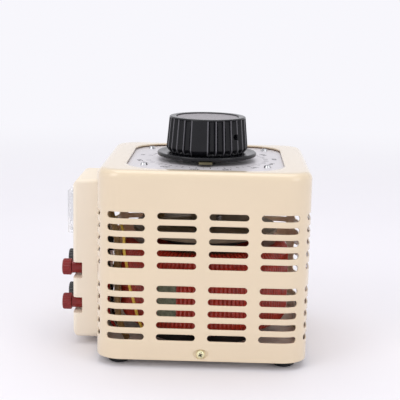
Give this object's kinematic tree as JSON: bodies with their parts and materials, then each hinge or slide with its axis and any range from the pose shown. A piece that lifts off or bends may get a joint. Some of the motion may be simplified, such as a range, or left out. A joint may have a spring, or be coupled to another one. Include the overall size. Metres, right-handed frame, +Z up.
{
  "type": "variable autotransformer",
  "caption": "Bench variable autotransformer: slotted cream case, fluted knob over a dial that turns a brush on a toroidal winding, terminal box with voltmeter and binding posts.",
  "frame": {"origin": "on the knob's axis, at the bench surface under the rubber feet", "axes": "+Z up along the knob's axis, -Y out of the terminal box, +X to the right of a user facing the terminal box"},
  "size_m": [0.1332, 0.1584, 0.1481],
  "materials": {
    "cream_steel": "satin powder coat",
    "cream_plastic": "fine satin moulding",
    "zinc_sheet": "zinc plated",
    "foot_rubber": "matte",
    "bright_steel": "bright zinc",
    "yellow_zinc": "yellow passivated zinc",
    "dial_aluminium": "satin anodised",
    "black_phenolic": "moulded phenolic",
    "core_steel": "wound strip",
    "enamelled_wire": "red enamelled copper wire",
    "insulation_cloth": "varnished",
    "brass": "turned",
    "dull_brass": "aged and dull",
    "bronze_leaf": "rolled strip",
    "spring_steel": "bright",
    "knob_black": "polished phenolic",
    "knob_disc_grey": "spun anodised",
    "arm_aluminium": "black anodised casting",
    "carbon": "pressed carbon",
    "yellow_sleeve": "wire insulation",
    "red_sleeve": "wire insulation",
    "black_sleeve": "wire insulation",
    "brown_sleeve": "wire insulation",
    "green_sleeve": "wire insulation",
    "meter_black": "moulded",
    "meter_card": "printed card",
    "pivot_steel": "polished",
    "clear_window": "clear moulding",
    "fuse_glass": "clear",
    "red_terminal": "moulded",
    "black_terminal": "moulded"
  },
  "bodies": {
    "chassis": {"base_plate": "zinc_sheet", "rubber_feet": "foot_rubber", "foot_screws": "bright_steel", "cover": "cream_steel", "cover_screws": "yellow_zinc", "top_plate": "zinc_sheet", "dial_plate": "dial_aluminium", "dial_screws": "bright_steel", "base_insulator": "black_phenolic", "core": "core_steel", "winding": "enamelled_wire", "gap_insulation": "insulation_cloth", "clamp_plate": "black_phenolic", "tie_rods": "bright_steel", "tie_nuts": "bright_steel", "bearing_tube": "zinc_sheet", "lower_bush": "brass", "upper_bush": "brass", "collector_ring": "brass", "stop_block": "zinc_sheet", "tap_board": "insulation_cloth", "lead_yellow": "yellow_sleeve", "lead_red": "red_sleeve", "lead_black": "black_sleeve", "lead_green": "green_sleeve", "lead_brown": "brown_sleeve", "terminal_box": "cream_plastic", "box_screws": "bright_steel", "meter_case": "meter_black", "meter_scale": "meter_card", "meter_pivot": "pivot_steel", "meter_window": "clear_window", "post_studs": "brass", "post_washers": "bright_steel", "post_nuts": "brass", "red_collars": "red_terminal", "black_collars": "black_terminal", "fuse_holder": "meter_black"},
    "rotor": {"shaft": "bright_steel", "knob": "knob_black", "knob_skirt": "knob_black", "knob_disc": "knob_disc_grey", "knob_set_screw": "bright_steel", "pointer": "dull_brass", "brush_arm": "arm_aluminium", "arm_set_screw": "bright_steel", "brush_holder": "brass", "brush_spring": "spring_steel", "pickup_leaf": "bronze_leaf"},
    "brush": {"carbon_brush": "carbon"},
    "needle": {"meter_needle": "meter_black"},
    "red_upper": {"red_cap_upper": "red_terminal"},
    "red_lower": {"red_cap_lower": "red_terminal"},
    "black_upper": {"black_cap_upper": "black_terminal"},
    "black_lower": {"black_cap_lower": "black_terminal"},
    "fuse": {"fuse_cap": "meter_black", "fuse_tube": "fuse_glass"}
  },
  "joints": [
    {"name": "knob_turn", "type": "hinge", "parent": "chassis", "child": "rotor", "pos_m": [0, 0, 0.1], "axis": [0, 0, 1], "range_deg": [-74, 254]},
    {"name": "brush_lift", "type": "slide", "parent": "rotor", "child": "brush", "axis": [0, 0, 1], "range_m": [0, 0.002], "stiffness_N_per_m": 800, "springref_m": -0.002, "deforming": ["brush_spring"]},
    {"name": "needle_swing", "type": "hinge", "parent": "chassis", "child": "needle", "pos_m": [0, -0.083, 0.0803], "axis": [0, 1, 0], "range_deg": [0, 88], "stiffness_Nm_per_rad": 0.0005},
    {"name": "red_upper_unscrew", "type": "slide", "parent": "chassis", "child": "red_upper", "axis": [0, -1, 0], "range_m": [0, 0.003]},
    {"name": "red_lower_unscrew", "type": "slide", "parent": "chassis", "child": "red_lower", "axis": [0, -1, 0], "range_m": [0, 0.003]},
    {"name": "black_upper_unscrew", "type": "slide", "parent": "chassis", "child": "black_upper", "axis": [0, -1, 0], "range_m": [0, 0.003]},
    {"name": "black_lower_unscrew", "type": "slide", "parent": "chassis", "child": "black_lower", "axis": [0, -1, 0], "range_m": [0, 0.003]},
    {"name": "fuse_draw", "type": "slide", "parent": "chassis", "child": "fuse", "axis": [0, -1, 0], "range_m": [0, 0.022]}
  ]
}
